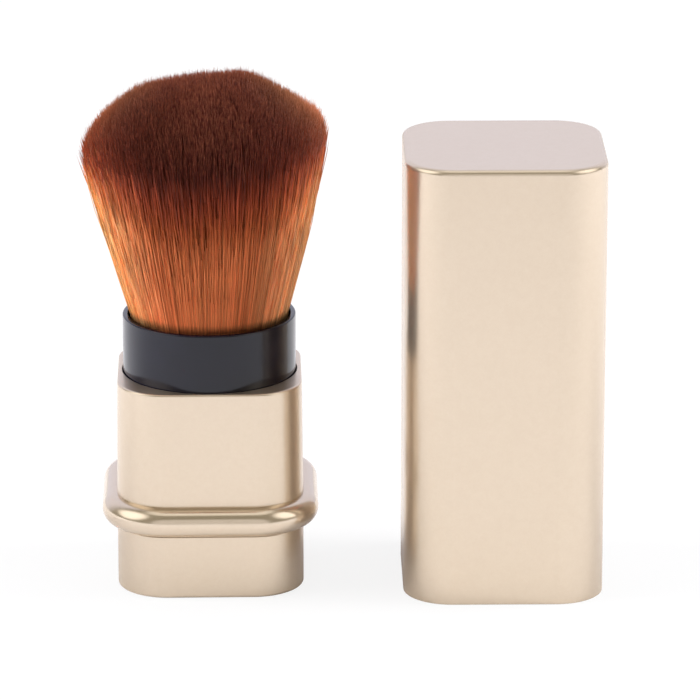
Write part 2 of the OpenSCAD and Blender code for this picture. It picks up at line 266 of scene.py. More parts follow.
def finish_piece(obj, bm, material, body, slot, *nodes):
    """Writes the bmesh with outward faces and even shading, and hangs the piece on its body."""
    bmesh.ops.recalc_face_normals(bm, faces=bm.faces)
    for face in bm.faces:
        face.smooth = True
    for edge in bm.edges:
        edge.smooth = not edge.is_manifold or edge.calc_face_angle(0.0) < SHARP
    bm.to_mesh(obj.data)
    bm.free()
    obj.data.materials.append(material)
    modifier = obj.modifiers.new("Even shading", "WEIGHTED_NORMAL")
    modifier.keep_sharp = True
    modifier.weight = EVEN_WEIGHT
    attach(obj, body)
    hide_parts(*nodes)


def chain(bm, points):
    """Vertices and edges through points, as a section to sweep."""
    verts = [bm.verts.new(p) for p in points]
    return [bm.edges.new(pair) for pair in zip(verts, verts[1:])]


def section_at(points, hub):
    """A section's (outward, up) points, set at the first corner of the round square."""
    return [(hub + x, hub, z) for x, z in points]


def sweep_square(bm, edges, hub, steps):
    """Sweeps a section's edges round a square, whose round corners have their centres at the hubs."""
    centre, run = Vector((hub, hub, 0)), Vector((-2 * hub, 0, 0))
    turn = Matrix.Rotation(QUARTER, 3, "Z")
    for _ in range(4):
        verts = list(dict.fromkeys(v for e in edges for v in e.verts))
        spun = bmesh.ops.spin(bm, geom=verts + edges, cent=centre, axis=(0, 0, 1), angle=QUARTER,
                              steps=steps)
        last = [g for g in spun["geom_last"] if isinstance(g, bmesh.types.BMEdge)]
        grown = bmesh.ops.extrude_edge_only(bm, edges=last)["geom"]
        bmesh.ops.translate(bm, vec=run, verts=[g for g in grown if isinstance(g, bmesh.types.BMVert)])
        edges = [g for g in grown if isinstance(g, bmesh.types.BMEdge)]
        centre, run = turn @ centre, turn @ run
    bmesh.ops.remove_doubles(bm, verts=bm.verts, dist=SAME)


def loops_at(bm, z):
    """Boundary edges at a height."""
    return [e for e in bm.edges if e.is_boundary and all(abs(v.co.z - z) < SAME for v in e.verts)]


def fill_loop(bm, z):
    """Closes the open loop at a height with one face."""
    bmesh.ops.contextual_create(bm, geom=loops_at(bm, z))


def round_edges(bm, edges, offset, segments):
    """Rounds edges."""
    bmesh.ops.bevel(bm, geom=edges, offset=offset, offset_type="OFFSET", segments=segments, profile=0.5,
                    affect="EDGES", material=-1, clamp_overlap=True)


def out_of_square(co, hub):
    """How far a point lies out of the square between the hubs, measured as a round corner is."""
    return math.hypot(max(abs(co.x) - hub, 0), max(abs(co.y) - hub, 0))


def ring_edges(bm, z, out, hub):
    """Edges of the loop at height z and distance out from the hubs' square."""
    return [e for e in bm.edges
            if all(abs(v.co.z - z) < NEAR and abs(out_of_square(v.co, hub) - out) < NEAR for v in e.verts)]


# Helpers for materials

def new_material(name):
    """A node material with its Principled shader."""
    material = bpy.data.materials.new(name)
    material.use_nodes = True
    return material, material.node_tree, material.node_tree.nodes["Principled BSDF"]


def add_node(tree, kind, inputs=None, **settings):
    """A node with its settings and its inputs, which are values or sockets."""
    node = tree.nodes.new(kind)
    for key, value in settings.items():
        setattr(node, key, value)
    for key, value in (inputs or {}).items():
        if isinstance(value, bpy.types.NodeSocket):
            tree.links.new(value, node.inputs[key])
        else:
            node.inputs[key].default_value = value
    return node


def object_place(tree):
    """The piece's own coordinates, in metres."""
    return add_node(tree, "ShaderNodeTexCoord").outputs["Object"]


def math_of(tree, operation, *values, clamp=False):
    """The result of a Math node on values or sockets."""
    return add_node(tree, "ShaderNodeMath", dict(enumerate(values)), operation=operation,
                    use_clamp=clamp).outputs[0]


def scaled(tree, vector, factor):
    """A vector times a factor."""
    return add_node(tree, "ShaderNodeVectorMath", {0: vector, "Scale": factor}, operation="SCALE").outputs[0]


def grain(tree, place, scale, detail=2.0, roughness=0.5):
    """A noise over the piece, with so many waves to the metre, as a factor round a half."""
    return add_node(tree, "ShaderNodeTexNoise", {
        "Vector": scaled(tree, place, scale), "Scale": 1.0, "Detail": detail,
        "Roughness": roughness}).outputs["Fac"]


def between(tree, factor, low, high, start=0.3, stop=0.7):
    """Spreads a factor from start to stop, where most noise lies, over the range from low to high."""
    return add_node(tree, "ShaderNodeMapRange", {
        "Value": factor, "From Min": start, "From Max": stop, "To Min": low,
        "To Max": high}).outputs["Result"]


def mixed(tree, factor, a, b):
    """A mix of two colours."""
    node = add_node(tree, "ShaderNodeMix", data_type="RGBA")
    for socket, value in ((node.inputs[0], factor), (node.inputs[6], a), (node.inputs[7], b)):
        if isinstance(value, bpy.types.NodeSocket):
            tree.links.new(value, socket)
        else:
            socket.default_value = value if socket.name == "Factor" else (*value, 1.0)
    return node.outputs[2]


def bumped(tree, height, strength, distance, under=None):
    """A bump from a height, over another bump if one is given."""
    inputs = {"Height": height, "Strength": strength, "Distance": distance}
    if under is not None:
        inputs["Normal"] = under
    return add_node(tree, "ShaderNodeBump", inputs).outputs["Normal"]


def times(tone, factor):
    """A colour times a factor."""
    return tuple(factor * part for part in tone)


def blend_surface(tree, portion, first, second):
    """Makes a mix of two shaders the material's surface, with a portion of the second."""
    both = add_node(tree, "ShaderNodeMixShader", {0: portion, 1: first.outputs[0], 2: second.outputs[0]})
    tree.links.new(both.outputs[0], tree.nodes["Material Output"].inputs["Surface"])


# Noise in the gold, in waves to the metre: cloudiness, blotches and fine pits
GOLD_CLOUD, GOLD_BLOTCH, GOLD_PITS = 140.0, 900.0, 2600.0
# Share of the deeper gold that blotches and pits bring in at most
BLOTCH_TINT, PIT_TINT = 0.12, 0.15
# How far clouds and pits shift the gold's roughness
CLOUD_ROUGH, PIT_ROUGH = 0.012, 0.008
# Strength of the bumps from blotches and pits, and their depth
BLOTCH_BUMP, PIT_BUMP, GOLD_DEPTH = 0.03, 0.06, 0.02 * MM
# Roughness of the part of the gold's light that is scattered widely
HAZE_ROUGH = 0.65


def satin_gold(name, looks, gloss=0.0):
    """Blasted and anodised gold: a very fine grain, a faint cloudiness and a slightly uneven colour."""
    material, tree, shader = new_material(name)
    place = object_place(tree)
    cloud = grain(tree, place, GOLD_CLOUD, 3.0)
    pits = grain(tree, place, GOLD_PITS, 3.0, 0.7)
    blotch = grain(tree, place, GOLD_BLOTCH, 3.0)
    uneven = math_of(tree, "ADD", between(tree, blotch, 0.0, BLOTCH_TINT), between(tree, pits, 0.0, PIT_TINT))
    rough = looks.gold_roughness - gloss
    spread = math_of(tree, "ADD", between(tree, cloud, -CLOUD_ROUGH, CLOUD_ROUGH),
                     between(tree, pits, rough - PIT_ROUGH, rough + PIT_ROUGH))
    tone = mixed(tree, uneven, looks.gold, looks.gold_deep)
    tree.links.new(tone, shader.inputs["Base Color"])
    tree.links.new(spread, shader.inputs["Roughness"])
    shader.inputs["Metallic"].default_value = 1.0
    wide = add_node(tree, "ShaderNodeBsdfPrincipled", {
        "Base Color": tone, "Metallic": 1.0, "Roughness": HAZE_ROUGH})
    blend_surface(tree, looks.gold_haze, shader, wide)
    under = bumped(tree, blotch, BLOTCH_BUMP, GOLD_DEPTH)
    tree.links.new(bumped(tree, pits, PIT_BUMP, GOLD_DEPTH, under), shader.inputs["Normal"])
    return material


# Noise in the other finishes, in waves to the metre
SCRATCHES, SMUDGES, EROSION, PATCHES = (60.0, 60.0, 9000.0), 220.0, 3000.0, 150.0
METAL_HAZE, RESIN_BLOTCH = 400.0, 800.0


def gloss_black(name, looks):
    """Polished black plastic with faint hairline scratches round the tube."""
    material, tree, shader = new_material(name)
    place = object_place(tree)
    stretched = add_node(tree, "ShaderNodeMapping", {"Vector": place, "Scale": SCRATCHES}).outputs[0]
    lines = grain(tree, stretched, 1.0, 2.0)
    smudge = grain(tree, place, SMUDGES, 3.0)
    tone = mixed(tree, between(tree, smudge, 0.0, 0.5), looks.black, times(looks.black, 2))
    tree.links.new(tone, shader.inputs["Base Color"])
    tree.links.new(between(tree, smudge, 0.13, 0.22), shader.inputs["Roughness"])
    tree.links.new(bumped(tree, lines, 0.04, 0.01 * MM), shader.inputs["Normal"])
    shader.inputs["IOR"].default_value = 1.45
    return material


def matt_moulding(name, tone):
    """Black moulding with a fine spark-eroded texture."""
    material, tree, shader = new_material(name)
    place = object_place(tree)
    erosion = grain(tree, place, EROSION, 3.0)
    patches = grain(tree, place, PATCHES, 2.0)
    tree.links.new(mixed(tree, between(tree, patches, 0.0, 1.0), tone, times(tone, 1.6)),
                   shader.inputs["Base Color"])
    tree.links.new(between(tree, erosion, 0.45, 0.6), shader.inputs["Roughness"])
    tree.links.new(bumped(tree, erosion, 0.15, 0.02 * MM), shader.inputs["Normal"])
    return material


def turned_metal(name, tone, rough, scale):
    """Bare metal with fine lines round the axis, from turning or drawing."""
    material, tree, shader = new_material(name)
    place = object_place(tree)
    rings = add_node(tree, "ShaderNodeTexWave", {
        "Vector": place, "Scale": scale, "Distortion": 0.6, "Detail": 2.0}, wave_type="RINGS",
        rings_direction="Z").outputs["Fac"]
    haze = grain(tree, place, METAL_HAZE, 3.0)
    tree.links.new(mixed(tree, between(tree, haze, 0.0, 1.0), tone, times(tone, 0.85)),
                   shader.inputs["Base Color"])
    tree.links.new(between(tree, haze, rough, rough + 0.1), shader.inputs["Roughness"])
    tree.links.new(bumped(tree, rings, 0.08, 0.01 * MM), shader.inputs["Normal"])
    shader.inputs["Metallic"].default_value = 1.0
    return material


def set_resin(name, tone):
    """Set resin between the hair's roots, blotched and half glossy."""
    material, tree, shader = new_material(name)
    place = object_place(tree)
    blotch = grain(tree, place, RESIN_BLOTCH, 4.0)
    tree.links.new(mixed(tree, between(tree, blotch, 0.0, 1.0), tone, times(tone, 0.5)),
                   shader.inputs["Base Color"])
    tree.links.new(between(tree, blotch, 0.25, 0.45), shader.inputs["Roughness"])
    tree.links.new(bumped(tree, blotch, 0.2, 0.05 * MM), shader.inputs["Normal"])
    return material


# Where the dye's tones lie, as shares of its reach from a strand's end
DYE_STOPS = ((0.0, "thin_tip"), (0.045, "dark_brown"), (0.10, "dark_brown"), (0.405, "red_brown"),
             (0.73, "orange_brown"), (1.0, "copper"))
# Brightness of the darkest and of the lightest strands, and their roughness
TONE_LIGHT, TONE_ROUGH = (0.80, 1.38), (0.34, 0.46)
# Painted shade at the tube's rim: share of the hair's brightness kept at the rim, and the heights above the
# rim between which it grows to all of it
RIM_LIGHT, RIM_SHADE = 0.55, (0.2 * MM, 1.4 * MM)
# Gloss of the fibre and its colour
FIBRE_GLOSS, FIBRE_TINT = 0.28, (1.0, 0.76, 0.52, 1.0)


def strand_value(tree, name):
    """A value that the strands carry as an attribute."""
    return add_node(tree, "ShaderNodeAttribute", attribute_name=name).outputs["Fac"]


def dyed_hair(name, looks):
    """Copper fibre with dark dyed ends; both sides are painted paler as painted side light and highlight, the
    ends at the crown's sides get a painted rim light, and the hair just above the tube's rim gets painted
    shade.
    """
    material, tree, shader = new_material(name)
    way = math_of(tree, "DIVIDE", strand_value(tree, "from_tip"), looks.dye_reach, clamp=True)
    ramp = add_node(tree, "ShaderNodeValToRGB", {"Fac": way})
    stops = ramp.color_ramp.elements
    while len(stops) < len(DYE_STOPS):
        stops.new(0.5)
    for stop, (at, key) in zip(stops, DYE_STOPS):
        stop.position, stop.color = at, (*getattr(looks, key), 1.0)
    side, tone = strand_value(tree, "side"), strand_value(tree, "tone")
    # The side mask, split into its part on the undyed hair (painted highlight) and its part on the dyed hair
    # (painted side light)
    undyed = math_of(tree, "MULTIPLY", side, way)
    dyed = math_of(tree, "SUBTRACT", side, undyed)
    faded = add_node(tree, "ShaderNodeVectorMath", {
        0: ramp.outputs["Color"], 1: scaled(tree, looks.painted_side_highlight, undyed), 2: ramp.outputs["Color"]},
        operation="MULTIPLY_ADD").outputs[0]
    # Painted rim light: the crown's side ends are mixed toward a lighter tint
    painted_rim_share = math_of(tree, "MULTIPLY", strand_value(tree, "painted_rim"), looks.painted_rim, clamp=True)
    dye = mixed(tree, painted_rim_share, faded, looks.painted_rim_tint)
    # Painted shade: the hair is painted darker just above the tube's rim
    height = add_node(tree, "ShaderNodeSeparateXYZ", {0: object_place(tree)}).outputs["Z"]
    low, high = RIM_SHADE
    shade = between(tree, height, RIM_LIGHT, 1.0, TUBE_HIGH.z + low, TUBE_HIGH.z + high)
    # Painted side light: the dyed hair is painted lighter toward both sides; the brightness also takes the
    # painted shade and each strand's own tone
    painted_side_light = math_of(tree, "MULTIPLY_ADD", dyed, looks.painted_side_light, 1.0)
    bright = between(tree, tone, *TONE_LIGHT, 0.0, 1.0)
    lift = math_of(tree, "MULTIPLY", bright, math_of(tree, "MULTIPLY", painted_side_light, shade))
    tint = add_node(tree, "ShaderNodeHueSaturation", {"Color": dye, "Value": lift}).outputs["Color"]
    tree.links.new(tint, shader.inputs["Base Color"])
    tree.links.new(between(tree, tone, *TONE_ROUGH), shader.inputs["Roughness"])
    shader.inputs["Specular IOR Level"].default_value = FIBRE_GLOSS
    shader.inputs["Specular Tint"].default_value = FIBRE_TINT
    through = add_node(tree, "ShaderNodeBsdfTranslucent", {"Color": tint})
    blend_surface(tree, looks.see_through, shader, through)
    return material


# How much smoother the bead is than the rest of the gold, as roughness
BEAD_GLOSS = 0.11
# Colours of the pieces inside, as linear values
MOULDING_TONE, RESIN_TONE = (0.018, 0.018, 0.02), (0.10, 0.03, 0.015)
STEEL_TONE, ALUMINIUM_TONE = (0.52, 0.53, 0.55), (0.75, 0.75, 0.77)
# Roughness of the two metals, and their lines to the metre
STEEL_LINES, ALUMINIUM_LINES = (0.3, 900.0), (0.25, 500.0)
# The finishes that have been made, by name
FINISHES = {}


def finish_of(name, maker, *args):
    """The finish of that name, made by maker the first time."""
    if name not in FINISHES:
        FINISHES[name] = maker(name, *args)
    return FINISHES[name]


def repaint(node, material):
    """Gives a CAD node a better material in its slots."""
    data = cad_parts[node].data
    data.materials.clear()
    data.materials.append(material)


class BRUSH_OT_foot(bpy.types.Operator):
    """Models the gold foot shell that the brush stands on"""

    bl_idname = "brush.foot"
    bl_label = "Foot"

    def execute(self, context):
        case, looks = context.scene.brush_case, context.scene.brush_finishes
        hub = case.half - case.corner
        side, inner, top = case.corner, case.corner - case.wall, FOOT_HIGH.z
        obj, bm = blank("foot")
        section = [(side, 0), (side, top), (inner, top), (inner, case.floor)]
        sweep_square(bm, chain(bm, section_at(section, hub)), hub, case.steps)
        fill_loop(bm, 0)
        fill_loop(bm, case.floor)
        round_edges(bm, ring_edges(bm, 0, side, hub), case.foot_round, FOOT_SEGMENTS)
        round_edges(bm, ring_edges(bm, top, side, hub), case.hole_round, RIM_SEGMENTS)
        gold = finish_of("satin_gold_foot", satin_gold, looks)
        finish_piece(obj, bm, gold, "handle", "gold_foot", "foot_shell")
        return {"FINISHED"}


class BRUSH_OT_sleeve(bpy.types.Operator):
    """Models the gold sleeve with the round hole in its flat top"""

    bl_idname = "brush.sleeve"
    bl_label = "Sleeve"

    def execute(self, context):
        case, looks = context.scene.brush_case, context.scene.brush_finishes
        hub = case.half - case.corner
        low, top, bead_top = SLEEVE_LOW.z, SLEEVE_HIGH.z, BEAD_HIGH.z
        side, narrow = case.corner, case.top_half - hub
        inner, under = narrow - case.wall, top - case.wall
        hole = case.tube_radius + case.hole_gap
        obj, bm = blank("sleeve")
        section = [(inner, under), (inner, low), (side, low), (side, bead_top), (narrow, top)]
        sweep_square(bm, chain(bm, section_at(section, hub)), hub, case.steps)
        segments = 4 * (case.steps + 1)
        for z in (top, under):
            circle = bmesh.ops.create_circle(bm, segments=segments, radius=hole)["verts"]
            turn = Matrix.Rotation(math.pi / segments, 3, "Z")
            bmesh.ops.rotate(bm, cent=(0, 0, 0), matrix=turn, verts=circle)
            bmesh.ops.translate(bm, vec=(0, 0, z), verts=circle)
            outline = [e for e in bm.edges if e.is_wire] + loops_at(bm, z)
            bmesh.ops.bridge_loops(bm, edges=outline)
        rims = [e for e in bm.edges if e.is_boundary]
        bmesh.ops.bridge_loops(bm, edges=rims)
        round_edges(bm, ring_edges(bm, top, narrow, hub), case.sleeve_round, EDGE_SEGMENTS)
        lip = [e for e in bm.edges
               if all(abs(v.co.z - top) < SAME and abs(v.co.xy.length - hole) < NEAR for v in e.verts)]
        round_edges(bm, lip, case.hole_round, RIM_SEGMENTS)
        gold = finish_of("satin_gold_sleeve", satin_gold, looks)
        finish_piece(obj, bm, gold, "sleeve", "gold_sleeve", "sleeve_shell")
        return {"FINISHED"}


class BRUSH_OT_bead(bpy.types.Operator):
    """Models the half-round grip bead round the sleeve's lower end"""

    bl_idname = "brush.bead"
    bl_label = "Grip bead"

    def execute(self, context):
        case, looks = context.scene.brush_case, context.scene.brush_finishes
        hub = case.half - case.corner
        radius = (BEAD_HIGH.z - BEAD_LOW.z) / 2
        obj, bm = blank("bead")
        circle = bmesh.ops.create_circle(bm, segments=BEAD_SEGMENTS, radius=radius)["verts"]
        bmesh.ops.rotate(bm, cent=(0, 0, 0), matrix=Matrix.Rotation(QUARTER, 3, "X"), verts=circle)
        bmesh.ops.translate(bm, vec=(case.half, hub, BEAD_LOW.z + radius), verts=circle)
        bmesh.ops.bisect_plane(bm, geom=bm.verts[:] + bm.edges[:], plane_co=(case.half, 0, 0),
                               plane_no=(-1, 0, 0), clear_outer=True)
        ends = [v for v in bm.verts if len(v.link_edges) == 1]
        bm.edges.new(ends)
        sweep_square(bm, list(bm.edges), hub, case.steps)
        gold = finish_of("bright_gold_bead", satin_gold, looks, BEAD_GLOSS)
        finish_piece(obj, bm, gold, "sleeve", "gold_bead", "grip_bead")
        return {"FINISHED"}


class BRUSH_OT_tube(bpy.types.Operator):
    """Models the gloss black tube whose upper end shows as a ring"""

    bl_idname = "brush.tube"
    bl_label = "Brush tube"

    def execute(self, context):
        case, looks = context.scene.brush_case, context.scene.brush_finishes
        outer, inner = case.tube_radius, case.tube_radius - case.tube_wall
        low, top = TUBE_LOW.z, TUBE_HIGH.z
        web_top = top - case.well
        web_low = web_top - case.web
        obj, bm = blank("tube")
        section = [(0, 0, web_low), (inner, 0, web_low), (inner, 0, low), (outer, 0, low), (outer, 0, top),
                   (inner, 0, top), (inner, 0, web_top), (0, 0, web_top)]
        edges = chain(bm, section)
        bmesh.ops.spin(bm, geom=bm.verts[:] + edges, cent=(0, 0, 0), axis=(0, 0, 1), angle=FULL_TURN,
                       steps=8 * case.steps, use_merge=True)
        bmesh.ops.remove_doubles(bm, verts=bm.verts, dist=SAME)
        rim = [e for e in bm.edges if all(abs(v.co.z - top) < SAME for v in e.verts)
               and abs(e.verts[0].co.xy.length - e.verts[1].co.xy.length) < SAME]
        round_edges(bm, rim, case.rim_round, EDGE_SEGMENTS)
        reach = case.lug_reach
        lug_root = outer - case.tube_wall / 2
        lug_top = CORE_HIGH.z - case.lug_gap
        lug_size = Vector((reach - lug_root, case.lug_width, case.lug_height))
        lug_place = Vector(((reach + lug_root) / 2, 0, lug_top - case.lug_height / 2))
        for quarter in range(4):
            turn = Matrix.Rotation((quarter + 0.5) * QUARTER, 3, "Z")
            lug = bmesh.ops.create_cube(bm, size=1)["verts"]
            bmesh.ops.scale(bm, vec=lug_size, verts=lug)
            bmesh.ops.translate(bm, vec=lug_place, verts=lug)
            bmesh.ops.rotate(bm, cent=(0, 0, 0), matrix=turn, verts=lug)
        black = finish_of("gloss_black_tube", gloss_black, looks)
        finish_piece(obj, bm, black, "handle", "black_gloss_tube", "brush_tube")
        return {"FINISHED"}


class BRUSH_OT_hair(bpy.types.Operator):
    """Grows the two-tone tuft strand by strand, in sectors that are each a piece of their own"""

    bl_idname = "brush.hair"
    bl_label = "Hair"

    def execute(self, context):
        hair, looks = context.scene.brush_hair, context.scene.brush_finishes
        material = finish_of("dyed_hair", dyed_hair, looks)
        strands = grow_strands(hair)
        width = FULL_TURN / hair.sectors
        for sector in range(hair.sectors):
            mine = (strands["angle"] // width).astype(int) == sector
            own = {key: values[mine] for key, values in strands.items()}
            obj = strands_piece(f"hair_{sector + 1:02d}", own)
            obj.data.materials.append(material)
            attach(obj, "handle")
            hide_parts("bristles")
            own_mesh(obj)
        root_slice(hair)
        return {"FINISHED"}


# Heights of a strand's points as shares of the way from the tube's rim to its end
WAY_SHARES = np.array([0.0, 0.18, 0.36, 0.53, 0.68, 0.81, 0.92, 1.0])
# How far those shares differ from strand to strand
WAY_SHIFTS = np.array([0.0, 0.14, 0.14, 0.13, 0.12, 0.10, 0.06, 0.0])
# Thickness of a strand at its root and at those points, as shares of its thickest
THICKNESS_SHARES = np.array([0.6, 0.62, 0.74, 0.86, 0.96, 1.0, 1.0, 0.8, 0.12])
# Thickness of the thinnest strand as a share of the middle one's, and what the thickest has more
THINNEST, THICKER = 0.8, 0.4
# Places across the crown where it was trimmed fuller: place and width as shares of its radius, height
CROWN_SWELLS = ((0.36, 0.20, 0.75 * MM), (-0.52, 0.18, 0.45 * MM), (1.0, 0.16, 1.4 * MM))
# Scatter of the roots, as a share of a mean spacing
ROOT_SCATTER = 0.35
# Smooth noise across the tuft, as waves to its radius and level in the noise: locks, wisps, streaks of tone
LOCKS, WISPS, STREAKS = (11, 0.5), (34, 7.5), (62, 3.5)
# Lean of wisps against that of locks, how late a strand leans, and share of the lean outward held at the edge
WISP_SHARE, LEAN_POWER, LEAN_HELD = 0.7, 1.6, 0.75
# Waves along a strand, and how fast they set in above the rim
WAVES, WAVE_START = 2.1, 1.5
# How rare the strands are that end above the crown, and those that stand out at its edge
HIGH_POWER, ASTRAY_POWER = 7, 5
# Where strands stand out, where both sides are painted lighter as painted side light, and where the ends get
# a painted rim light: start and width as shares of the radius; and the power by which the painted side light
# grows
ASTRAY_RANGE, SIDE_LIGHT_RANGE, PAINTED_RIM_RANGE = (0.8, 0.15), (0.45, 0.5), (0.3, 0.5)
SIDE_LIGHT_POWER = 1.3
# Middle and width of the painted rim light from front to back, and what it has more on the right
PAINTED_RIM_MIDDLE, PAINTED_RIM_WIDTH, PAINTED_RIM_RIGHT = 0.12, 0.42, 0.2
# How much shorter the dye is, in millimetres: at random and from lock to lock; then, as painted side light
# that lightens the hair, toward both sides, how much less of that on the right, and at the far sides, with
# the power by which that grows
DYE_RANDOM, DYE_LOCKS, SIDE_LIGHT_SHIFT, SIDE_LIGHT_RIGHT, EDGE_LIGHT_SHIFT, EDGE_LIGHT_POWER = 0.7, 1.2, 3.8, 1.8, 3.6, 1.4
# Middle and spread of the strands' tones, and the share of the streaks in them
TONE_MIDDLE, TONE_SPREAD, TONE_STREAKS = 0.40, 0.22, 0.7
# Seeds of the two streams of random numbers and of the noise, which otherwise starts from the clock
DRAW_SEED, LOOSE_SEED, NOISE_SEED = 20, 21, 22


def drift(place, waves, level, maker=noise.noise_vector):
    """Smooth noise at places across the tuft."""
    return np.array([maker(Vector((p[0] * waves, p[1] * waves, level))) for p in place])


def risen(values, start, width):
    """How far values have risen over a width from a start, from 0 to 1."""
    return np.clip((values - start) / width, 0, 1)


def crown_heights(hair, place, out):
    """Height of the crown above the tube's rim at each strand."""
    dome = hair.edge_reach + (hair.reach - hair.edge_reach) * np.sqrt(1 - out**2) + hair.lean * place[:, 0]
    for at, width, height in CROWN_SWELLS:
        dome += height * np.exp(-((place[:, 0] - at) / width) ** 2)
    return dome


def grow_strands(hair):
    """Points, radii and root angles of all strands, and the values that their material reads."""
    draw, loose = np.random.default_rng(DRAW_SEED), np.random.default_rng(LOOSE_SEED)
    noise.seed_set(NOISE_SEED)
    count = hair.strands
    number = np.arange(count)
    # Turning on by the golden angle from root to root fills the circle evenly
    angle = number * math.pi * (3 - math.sqrt(5)) % FULL_TURN
    place = np.sqrt((number + 0.5) / count)[:, None] * np.stack([np.cos(angle), np.sin(angle)], 1)
    place += draw.normal(0, ROOT_SCATTER / math.sqrt(count), (count, 2))
    out = np.minimum(np.linalg.norm(place, axis=1), 1.0)
    across, back = place[:, 0], place[:, 1]
    # Heights: the crown, strands that end short of it and a few that end above it
    rim = TUBE_HIGH.z
    way = WAY_SHARES + (loose.random((count, 1)) - 0.5) * WAY_SHIFTS
    short = hair.unevenness * draw.random(count) ** 2
    end = rim + crown_heights(hair, place, out) - short + hair.flyaway * loose.random(count) ** HIGH_POWER
    z = rim + (end[:, None] - rim) * way
    # Spread of the tuft, lean of locks, wisps and single strands, and waves
    opening = (1 - hair.bend) * way + hair.bend * np.sin(QUARTER * way)
    spread = hair.mouth_radius + (hair.crown_radius - hair.mouth_radius) * opening
    lock, wisp = drift(place, *LOCKS)[:, :2], drift(place, *WISPS)[:, :2]
    lean = hair.clump * (lock + WISP_SHARE * wisp) + draw.normal(0, hair.stray, (count, 2))
    outward = place / out[:, None]
    lean -= LEAN_HELD * (out**8 * (lean * outward).sum(1))[:, None] * outward
    wave = np.sin(FULL_TURN * (draw.random((count, 1, 2)) + WAVES * way[..., None]))
    flat = place[:, None, :] * spread[..., None] + lean[:, None, :] * way[..., None] ** LEAN_POWER
    flat += hair.waviness * wave * np.minimum(WAVE_START * way, 1)[..., None]
    flat[..., 0] -= hair.aside * way**2
    astray = hair.flyaway * loose.random(count) ** ASTRAY_POWER * risen(out, *ASTRAY_RANGE)
    flat += (place * astray[:, None])[:, None, :] * way[..., None] ** 3
    above = np.concatenate([flat, z[..., None]], 2)
    root = np.concatenate([place * hair.root_radius, np.full((count, 1), root_height())], 1)
    points = np.concatenate([root[:, None, :], above], 1)
    radii = hair.thickness * THICKNESS_SHARES[None, :] * (THINNEST + THICKER * draw.random((count, 1)))
    # Values for the material: the dye ends unevenly, and sooner toward both sides, less on the right, as
    # painted side light; the side mask also carries the painted highlight
    side = risen(np.abs(across), *SIDE_LIGHT_RANGE) ** SIDE_LIGHT_POWER
    late = draw.normal(0, DYE_RANDOM, count) + DYE_LOCKS * lock[:, 0]
    late = late + (SIDE_LIGHT_SHIFT - SIDE_LIGHT_RIGHT * across) * across**2
    from_tip = end[:, None] - points[..., 2]
    from_tip += np.minimum(from_tip, MM) * (late + EDGE_LIGHT_SHIFT * side**EDGE_LIGHT_POWER)[:, None]
    streak = drift(place, *STREAKS, noise.noise)
    tone = np.clip(draw.normal(TONE_MIDDLE, TONE_SPREAD, count) + TONE_STREAKS * streak, 0, 1)
    # Painted rim light: the ends at the crown's left and right, around the front-to-back middle, are marked
    # for a lighter tint, more on the right
    painted_rim = risen(np.abs(across), *PAINTED_RIM_RANGE) * (1 + PAINTED_RIM_RIGHT * across)
    painted_rim *= np.exp(-((back - PAINTED_RIM_MIDDLE) / PAINTED_RIM_WIDTH) ** 2)
    return {"points": points, "radii": radii, "angle": angle, "from_tip": from_tip, "tone": tone,
            "side": side, "painted_rim": painted_rim}


# Height of the resin's slice in the hair's solid, and how far it reaches past the roots
RESIN_HEIGHT, RESIN_EDGE = 0.6 * MM, 0.2 * MM


def root_height():
    """Height of the resin's top, from which the strands grow."""
    return HAIR_LOW.z + RESIN_HEIGHT


def strands_piece(name, strands):
    """Closed three-sided strands with a side outward, grown level by level along their points."""
    obj, bm = blank(name)
    points, radii, from_tip = strands["points"], strands["radii"], strands["from_tip"]
    tones, sides, painted_rims = (strands[key].tolist() for key in ("tone", "side", "painted_rim"))
    count, levels = points.shape[:2]
    strand, corner = bm.verts.layers.int.new("strand"), bm.verts.layers.int.new("corner")
    keys = ("from_tip", "tone", "side", "painted_rim")
    tip_layer, tone_layer, side_light_layer, painted_rim_layer = (bm.verts.layers.float.new(key) for key in keys)
    first = bmesh.ops.create_circle(bm, cap_ends=True, segments=3, radius=MM)["verts"]
    for place, vert in enumerate(first):
        vert[corner] = place
    # The first strand's lowest face is doubled until every strand has its own
    while len(bm.faces) < count:
        held = len(bm.faces)
        source = [face for face in bm.faces if face.verts[0][strand] < count - held]
        for part in bmesh.ops.duplicate(bm, geom=source)["geom"]:
            if isinstance(part, bmesh.types.BMVert):
                part[strand] += held
    turn = strands["angle"][:, None] + HALF_TURN + FULL_TURN / 3 * np.arange(3)
    aside = np.stack([np.cos(turn), np.sin(turn), np.zeros_like(turn)], 2)
    verts, faces = bm.verts[:], bm.faces[:]
    for level in range(levels):
        if level:
            grown = bmesh.ops.extrude_face_region(bm, geom=faces, use_keep_orig=level == 1)["geom"]
            verts = [part for part in grown if isinstance(part, bmesh.types.BMVert)]
            faces = [part for part in grown if isinstance(part, bmesh.types.BMFace)]
        corners = (points[:, None, level] + radii[:, level, None, None] * aside).tolist()
        ends = from_tip[:, level].tolist()
        at_end = level == levels - 1
        for vert in verts:
            own = vert[strand]
            vert.co = corners[own][vert[corner]]
            vert[tip_layer], vert[tone_layer], vert[side_light_layer] = ends[own], tones[own], sides[own]
            # Only the ends carry the painted rim light
            vert[painted_rim_layer] = painted_rims[own] if at_end else 0.0
    bmesh.ops.recalc_face_normals(bm, faces=bm.faces)
    for face in bm.faces:
        face.smooth = True
    bm.verts.layers.int.remove(strand)
    bm.verts.layers.int.remove(bm.verts.layers.int["corner"])
    bm.to_mesh(obj.data)
    bm.free()
    return obj


